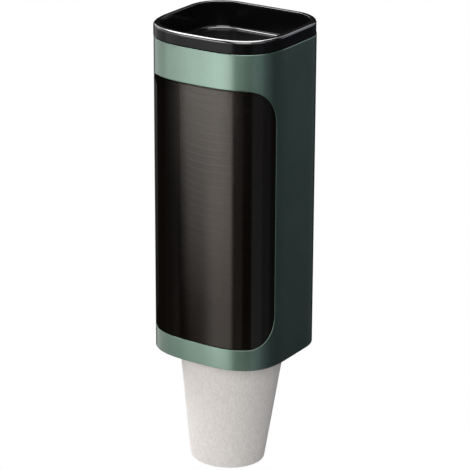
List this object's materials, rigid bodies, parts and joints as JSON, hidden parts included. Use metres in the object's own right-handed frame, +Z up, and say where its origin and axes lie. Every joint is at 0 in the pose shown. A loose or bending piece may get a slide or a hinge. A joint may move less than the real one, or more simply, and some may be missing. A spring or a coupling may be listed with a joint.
{
  "type": "paper cup dispenser",
  "caption": "Wall-hung pull-down paper cup dispenser: rounded-square tube with a wraparound smoked window, recessed tray lid and a cup hanging from its outlet.",
  "frame": {"origin": "middle of the adhesive pad's rear face, on the wall", "axes": "+X to the right seen from the front, +Y into the wall, +Z up"},
  "size_m": [0.098, 0.0971, 0.3203],
  "materials": {
    "shell": "satin metallic sage green",
    "window": "smoked, clear, glossy",
    "lid": "gloss black",
    "black_plastic": "fine moulded texture, black",
    "natural_plastic": "natural white, smooth",
    "steel": "zinc plated",
    "foam": "grey foam tape",
    "cup_paper": "uncoated recycled paper, fine fibres",
    "nested_cups": "uncoated recycled paper, fine fibres"
  },
  "bodies": {
    "wall_bracket": {"wall_plate": "black_plastic", "adhesive_pad": "foam"},
    "dispenser": {"body_shell": "shell", "front_window": "window", "outlet_base": "black_plastic", "cup_guide": "black_plastic", "pawl_pin_1": "steel", "pawl_pin_2": "steel", "pawl_pin_3": "steel", "pawl_pin_4": "steel", "pawl_spring_1": "steel", "pawl_spring_2": "steel", "pawl_spring_3": "steel", "pawl_spring_4": "steel", "base_screw_1": "steel", "base_screw_2": "steel", "base_screw_3": "steel", "base_screw_4": "steel"},
    "lid": {"lid_tray": "lid"},
    "pawl_1": {"retaining_pawl_1": "natural_plastic"},
    "pawl_2": {"retaining_pawl_2": "natural_plastic"},
    "pawl_3": {"retaining_pawl_3": "natural_plastic"},
    "pawl_4": {"retaining_pawl_4": "natural_plastic"},
    "pulled_cup": {"hanging_cup": "cup_paper"},
    "nest": {"held_cup": "cup_paper", "cup_stack": "nested_cups"}
  },
  "joints": [
    {"name": "dispenser_lift", "type": "slide", "parent": "wall_bracket", "child": "dispenser", "axis": [0, 0, 1], "range_m": [0, 0.0065]},
    {"name": "lid_lift", "type": "slide", "parent": "dispenser", "child": "lid", "axis": [0, 0, 1], "range_m": [0, 0.03]},
    {"name": "pawl_swing_1", "type": "hinge", "parent": "dispenser", "child": "pawl_1", "pos_m": [-0.03154, -0.08239, -0.1365], "axis": [-0.7071, 0.7071, 0], "range_deg": [0, 15], "stiffness_Nm_per_rad": 0.02, "springref_deg": -11.46, "deforming": ["pawl_spring_1"]},
    {"name": "pawl_swing_2", "type": "hinge", "parent": "dispenser", "child": "pawl_2", "pos_m": [0.03154, -0.08239, -0.1365], "axis": [-0.7071, -0.7071, 0], "range_deg": [0, 15], "stiffness_Nm_per_rad": 0.02, "springref_deg": -11.46, "deforming": ["pawl_spring_2"]},
    {"name": "pawl_swing_3", "type": "hinge", "parent": "dispenser", "child": "pawl_3", "pos_m": [0.03154, -0.01931, -0.1365], "axis": [0.7071, -0.7071, 0], "range_deg": [0, 15], "stiffness_Nm_per_rad": 0.02, "springref_deg": -11.46, "deforming": ["pawl_spring_3"]},
    {"name": "pawl_swing_4", "type": "hinge", "parent": "dispenser", "child": "pawl_4", "pos_m": [-0.03154, -0.01931, -0.1365], "axis": [0.7071, 0.7071, 0], "range_deg": [0, 15], "stiffness_Nm_per_rad": 0.02, "springref_deg": -11.46, "deforming": ["pawl_spring_4"]},
    {"name": "cup_pull", "type": "slide", "parent": "dispenser", "child": "pulled_cup", "axis": [0, 0, -1], "range_m": [0, 0.095]},
    {"name": "nest_lift", "type": "slide", "parent": "dispenser", "child": "nest", "axis": [0, 0, 1], "range_m": [0, 0.008]}
  ]
}
